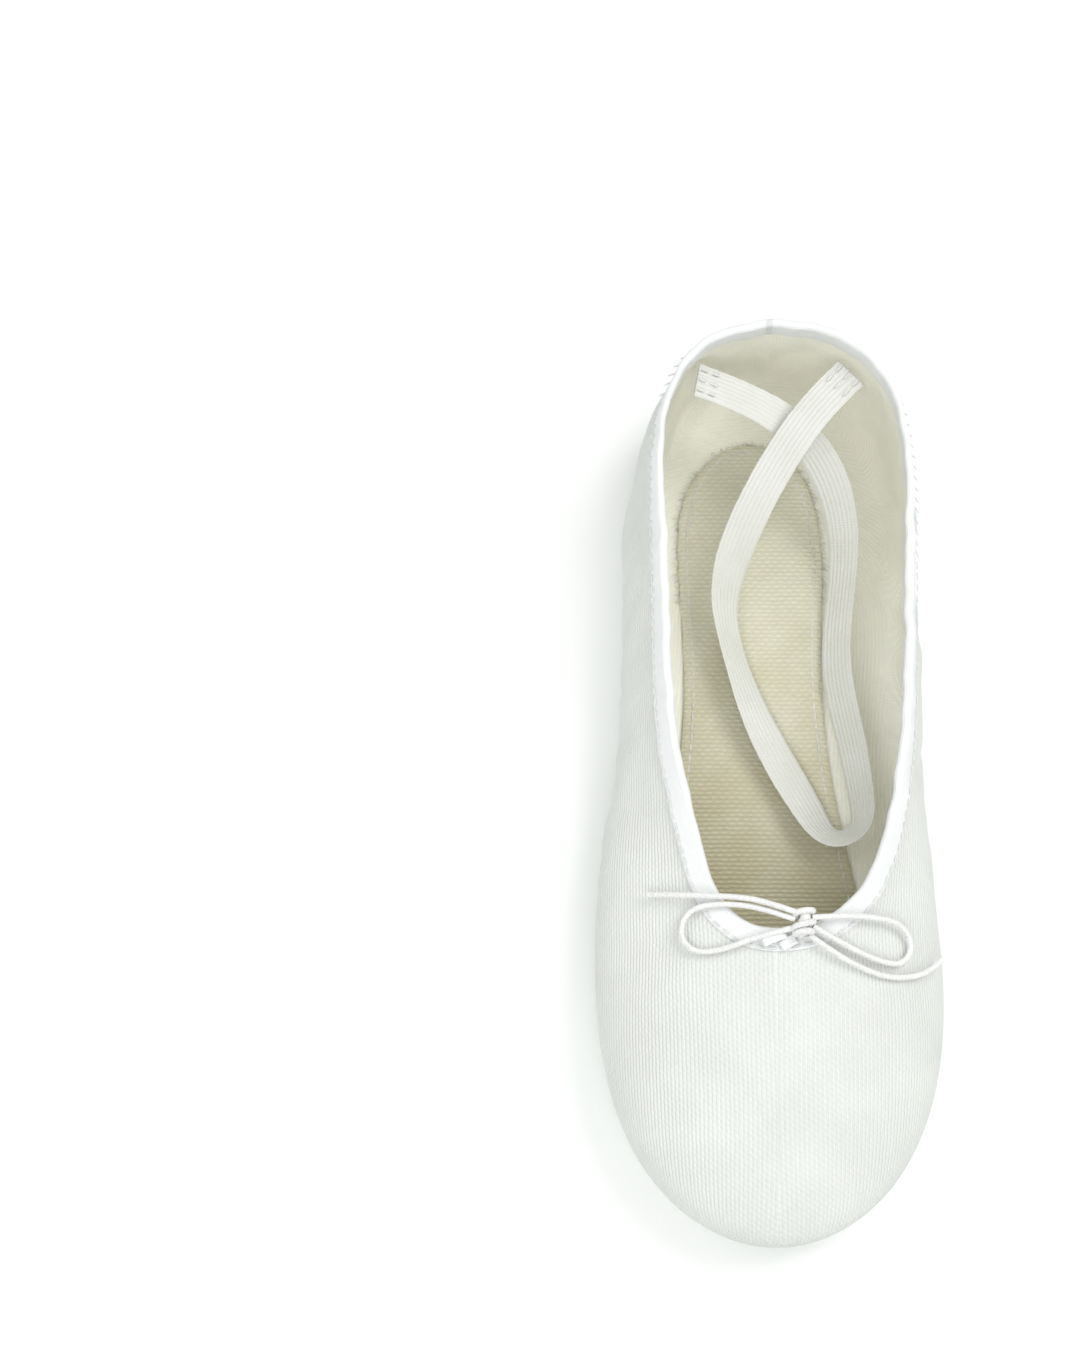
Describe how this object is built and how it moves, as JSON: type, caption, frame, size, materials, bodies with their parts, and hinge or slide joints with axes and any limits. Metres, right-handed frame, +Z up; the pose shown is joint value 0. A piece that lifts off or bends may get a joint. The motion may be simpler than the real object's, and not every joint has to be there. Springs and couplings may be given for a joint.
{
  "type": "ballet slipper",
  "caption": "Soft canvas ballet slipper with a split suede sole, a drawstring collar tied in a bow and a crossed elastic loop inside the heel",
  "frame": {"origin": "on the floor under the middle of the slipper's box, the bow's loose cords left out", "axes": "+Z up, toe towards -Y, heel towards +Y, X across the slipper"},
  "size_m": [0.0911, 0.2471, 0.0542],
  "materials": {
    "canvas": "off-white ribbed cotton canvas",
    "lining": "cream cotton lining",
    "binding_tape": "white bias tape",
    "elastic_cord": "white braided elastic cord",
    "elastic_band": "white ribbed flat elastic",
    "insole_canvas": "unbleached coarse canvas",
    "pad_foam": "thin felt padding",
    "suede": "light grey split suede",
    "thread": "white cotton sewing thread"
  },
  "bodies": {
    "root": {"upper_canvas": "canvas", "upper_lining": "lining", "collar_binding": "binding_tape", "collar_stitching": "thread", "drawstring": "elastic_cord", "bow_knot": "elastic_cord", "bow_loop_left": "elastic_cord", "bow_loop_right": "elastic_cord", "bow_tail_left": "elastic_cord", "bow_tail_right": "elastic_cord", "insole": "insole_canvas", "insole_stitching": "thread", "forefoot_pad": "pad_foam", "forefoot_sole_patch": "suede", "forefoot_stitching": "thread", "forefoot_inner_stitching": "thread", "arch_seam_stitching": "thread"},
    "heel": {"heel_pad": "pad_foam", "heel_sole_patch": "suede", "heel_stitching": "thread", "heel_strip": "canvas", "heel_strip_stitching": "thread"},
    "elastic": {"elastic_loop": "elastic_band", "elastic_tack_left": "thread", "elastic_tack_right": "thread"}
  },
  "joints": [
    {"name": "sole_flex", "type": "hinge", "parent": "root", "child": "heel", "pos_m": [0, -0.025, 0.004], "axis": [1, 0, 0], "range_deg": [0, 40], "deforming": ["upper_canvas", "upper_lining", "collar_binding", "collar_stitching", "drawstring", "insole", "insole_stitching", "arch_seam_stitching"]},
    {"name": "elastic_lift", "type": "hinge", "parent": "heel", "child": "elastic", "pos_m": [0.004, 0.1075, 0.045], "axis": [-1, 0, 0], "range_deg": [0, 75]}
  ]
}
